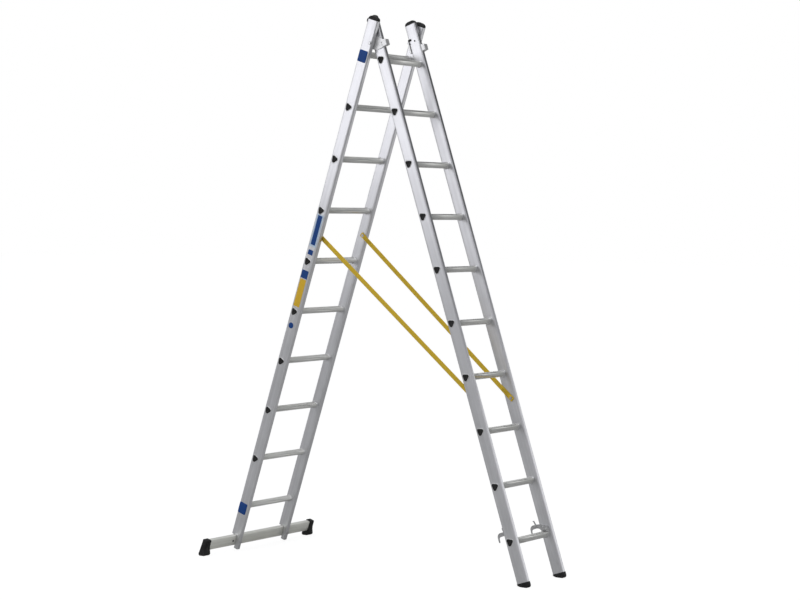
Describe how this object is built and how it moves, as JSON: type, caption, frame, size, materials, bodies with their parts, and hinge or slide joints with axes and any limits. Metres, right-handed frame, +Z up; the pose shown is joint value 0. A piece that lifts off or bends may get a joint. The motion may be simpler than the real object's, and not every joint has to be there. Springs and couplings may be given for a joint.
{
  "type": "extension ladder",
  "caption": "Aluminium ladder in two rung sections that hinge apart into a trestle or extend into one long leaning ladder, with a wide stabiliser bar.",
  "frame": {"origin": "on the floor, under the middle of the standing ladder", "axes": "+Z up, +X from the outer section with the bar towards the inner section, Y along the rungs"},
  "size_m": [1.9008, 0.912, 2.834],
  "materials": {
    "aluminium": "extruded, satin",
    "steel": "zinc plated",
    "plastic": "moulded, black",
    "rubber": "moulded, black",
    "webbing": "woven webbing, yellow"
  },
  "bodies": {
    "outer_section": {"bar_bolt_far": "steel", "bar_bolt_near": "steel", "bar_foot_far": "rubber", "bar_foot_near": "rubber", "outer_cap_far": "plastic", "outer_cap_near": "plastic", "outer_rung_01": "aluminium", "outer_rung_02": "aluminium", "outer_rung_03": "aluminium", "outer_rung_04": "aluminium", "outer_rung_05": "aluminium", "outer_rung_06": "aluminium", "outer_rung_07": "aluminium", "outer_rung_08": "aluminium", "outer_rung_09": "aluminium", "outer_rung_10": "aluminium", "outer_stile_far": "aluminium", "outer_stile_near": "aluminium", "outer_strap_screw_far": "steel", "outer_strap_screw_near": "steel", "pivot_bolt_far": "steel", "pivot_bolt_near": "steel", "stabiliser_bar": "aluminium", "strap_far": "webbing", "strap_near": "webbing"},
    "guide_brackets": {"guide_bracket_far": "steel", "guide_bracket_near": "steel"},
    "inner_section": {"hook_far": "steel", "hook_near": "steel", "inner_cap_far": "plastic", "inner_cap_near": "plastic", "inner_foot_far": "rubber", "inner_foot_near": "rubber", "inner_rung_01": "aluminium", "inner_rung_02": "aluminium", "inner_rung_03": "aluminium", "inner_rung_04": "aluminium", "inner_rung_05": "aluminium", "inner_rung_06": "aluminium", "inner_rung_07": "aluminium", "inner_rung_08": "aluminium", "inner_rung_09": "aluminium", "inner_rung_10": "aluminium", "inner_stile_far": "aluminium", "inner_stile_near": "aluminium", "inner_strap_screw_far": "steel", "inner_strap_screw_near": "steel", "latch_pin_far": "steel", "latch_pin_near": "steel"},
    "latch_near": {"latch_near": "steel"},
    "latch_far": {"latch_far": "steel"}
  },
  "joints": [
    {"name": "fold", "type": "hinge", "parent": "outer_section", "child": "guide_brackets", "pos_m": [-0.00077, 0, 2.6875], "axis": [0, 1, 0], "range_deg": [0, 35.75], "deforming": ["strap_near", "strap_far"]},
    {"name": "extension", "type": "slide", "parent": "guide_brackets", "child": "inner_section", "axis": [-0.3173, 0, 0.9483], "range_m": [0, 1.966]},
    {"name": "latch_near_release", "type": "hinge", "parent": "inner_section", "child": "latch_near", "pos_m": [0.79109, -0.1455, 0.24715], "axis": [0, -1, 0], "range_deg": [0, 25], "stiffness_Nm_per_rad": 0.05, "springref_deg": -17.19},
    {"name": "latch_far_release", "type": "hinge", "parent": "inner_section", "child": "latch_far", "pos_m": [0.79109, 0.1455, 0.24715], "axis": [0, -1, 0], "range_deg": [0, 25], "stiffness_Nm_per_rad": 0.05, "springref_deg": -17.19}
  ]
}
